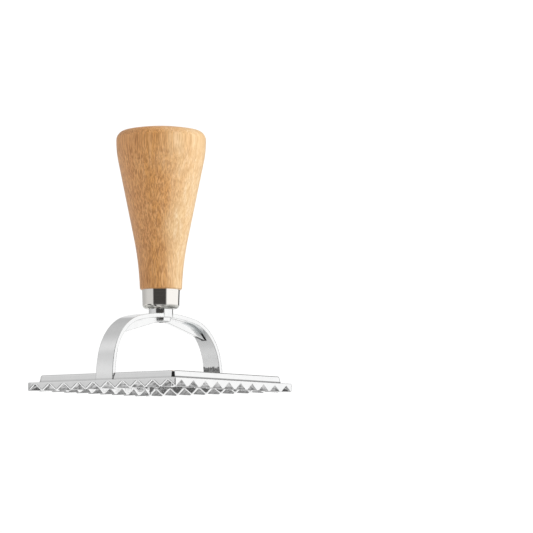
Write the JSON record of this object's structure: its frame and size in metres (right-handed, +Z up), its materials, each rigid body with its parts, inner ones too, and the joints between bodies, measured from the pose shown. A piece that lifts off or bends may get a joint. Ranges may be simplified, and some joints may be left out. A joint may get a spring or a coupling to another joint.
{
  "type": "ravioli stamp",
  "caption": "Square ravioli stamp: cast head with a V-grooved crimping rim round a shallow cavity, an arched strap and a turned wooden handle in a metal ferrule.",
  "frame": {"origin": "middle of the square rim's underside, on the plane of the tooth crests, below the handle's axis", "axes": "+Z up along the handle's axis; +X along the arched strap, from foot to foot; +Y across the strap, through the finger gap"},
  "size_m": [0.07, 0.07, 0.0993],
  "materials": {
    "cast_metal": "polished casting, lightly brushed",
    "ferrule_metal": "bright polished",
    "beech": "fine sanded beech, thin satin lacquer",
    "stud_steel": "plain threaded steel"
  },
  "bodies": {
    "root": {"head": "cast_metal", "ferrule": "ferrule_metal", "handle": "beech", "stud": "stud_steel"}
  },
  "joints": []
}
